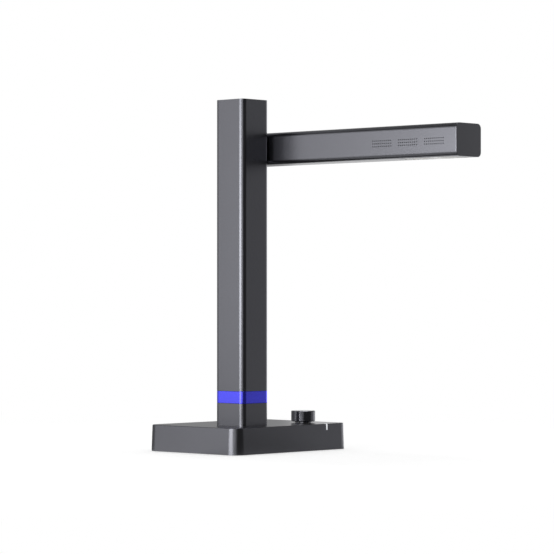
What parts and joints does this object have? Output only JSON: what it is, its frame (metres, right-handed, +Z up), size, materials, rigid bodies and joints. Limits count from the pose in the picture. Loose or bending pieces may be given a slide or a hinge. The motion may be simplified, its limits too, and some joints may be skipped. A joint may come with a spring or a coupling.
{
  "type": "overhead book scanner",
  "caption": "Desk scanner: a weighted base carries a square column with a light ring and a folding arm that looks down on the page with a camera and lamps; a knob on the base dims them.",
  "frame": {"origin": "on the desk, at the centre of the base's footprint and of the mat under it", "axes": "+Z up along the column; the arm reaches towards -Y over the page; +X is the right hand of a reader who sits at the page"},
  "size_m": [0.1736, 0.3541, 0.3668],
  "materials": {
    "arm_board": "green solder mask",
    "arm_board_parts": "black moulded packages",
    "arm_end_cap": "fine matt, dark grey",
    "arm_housing": "anodised dark grey, fine satin",
    "arm_rear_cap": "fine matt, dark grey",
    "ballast_block": "bare cast plate",
    "ballast_screws": "blackened steel",
    "base_board": "green solder mask",
    "base_board_parts": "black moulded packages",
    "base_cover": "matt black powder coat",
    "base_housing": "fine satin, dark grey",
    "bracket_screws": "blackened steel",
    "camera_bezel": "matt near black",
    "camera_board": "green solder mask",
    "camera_window": "clear",
    "column_cap": "fine matt, dark grey",
    "column_foot": "matt black powder coat",
    "column_sleeve": "anodised dark grey, fine satin",
    "column_tube": "anodised dark grey, fine satin",
    "control_knob": "satin, near black, turned",
    "cover_screws": "blackened steel",
    "desk_mat": "matt, non-slip",
    "dimmer_control": "pressed metal case",
    "dimmer_nut": "plain steel",
    "dimmer_shaft": "plain steel",
    "dimmer_washer": "plain steel",
    "disc_springs": "machined steel",
    "flange_screws": "blackened steel",
    "friction_washer": "plain bronze bearing",
    "front_diffuser": "opal diffuser",
    "front_light_board": "white solder mask",
    "hinge_bracket": "machined steel",
    "hinge_nut": "plain steel",
    "hinge_shaft": "machined steel",
    "hinge_stop_pin": "machined steel",
    "hinge_stop_plate": "machined steel",
    "hinge_washer": "plain steel",
    "image_sensor": "black moulded packages",
    "lens_barrel": "matt black",
    "lens_glass": "coated lens",
    "lens_holder": "matt black",
    "light_lamps": "white lamps",
    "light_ring": "translucent blue, lit from inside",
    "rear_diffuser": "opal diffuser",
    "rear_light_board": "white solder mask",
    "ring_board": "white solder mask",
    "ring_lamps": "blue lamps",
    "socket_shell": "plain bright steel",
    "socket_tongue": "black moulding",
    "status_lamp": "white lamp",
    "status_light": "clear light guide",
    "tie_bolts": "blackened steel",
    "vent_screen": "black woven screen"
  },
  "bodies": {
    "base": {"ballast_block": "ballast_block", "ballast_screws": "ballast_screws", "base_board": "base_board", "base_board_parts": "base_board_parts", "base_cover": "base_cover", "base_housing": "base_housing", "bracket_screws": "bracket_screws", "column_cap": "column_cap", "column_foot": "column_foot", "column_sleeve": "column_sleeve", "column_tube": "column_tube", "cover_screws": "cover_screws", "desk_mat": "desk_mat", "dimmer_control": "dimmer_control", "dimmer_nut": "dimmer_nut", "dimmer_washer": "dimmer_washer", "friction_washer": "friction_washer", "hinge_bracket": "hinge_bracket", "hinge_stop_pin": "hinge_stop_pin", "light_ring": "light_ring", "ring_board": "ring_board", "ring_lamps": "ring_lamps", "socket_shell": "socket_shell", "socket_tongue": "socket_tongue", "status_lamp": "status_lamp", "status_light": "status_light", "tie_bolts": "tie_bolts"},
    "knob": {"control_knob": "control_knob", "dimmer_shaft": "dimmer_shaft"},
    "arm": {"hinge_washer": "hinge_washer", "hinge_stop_plate": "hinge_stop_plate", "disc_springs": "disc_springs", "hinge_nut": "hinge_nut", "hinge_shaft": "hinge_shaft", "flange_screws": "flange_screws", "arm_housing": "arm_housing", "arm_end_cap": "arm_end_cap", "arm_rear_cap": "arm_rear_cap", "vent_screen": "vent_screen", "camera_bezel": "camera_bezel", "front_diffuser": "front_diffuser", "camera_window": "camera_window", "rear_diffuser": "rear_diffuser", "front_light_board": "front_light_board", "rear_light_board": "rear_light_board", "light_lamps": "light_lamps", "camera_board": "camera_board", "image_sensor": "image_sensor", "lens_holder": "lens_holder", "lens_barrel": "lens_barrel", "lens_glass": "lens_glass", "arm_board": "arm_board", "arm_board_parts": "arm_board_parts"}
  },
  "joints": [
    {"name": "arm_fold", "type": "hinge", "parent": "base", "child": "arm", "pos_m": [-0.0122, -0.021, 0.31655], "axis": [1, 0, 0], "range_deg": [0, 90]},
    {"name": "knob_turn", "type": "hinge", "parent": "base", "child": "knob", "pos_m": [0.05305, -0.03, 0.0283], "axis": [0, 0, 1], "range_deg": [-150, 150]}
  ]
}
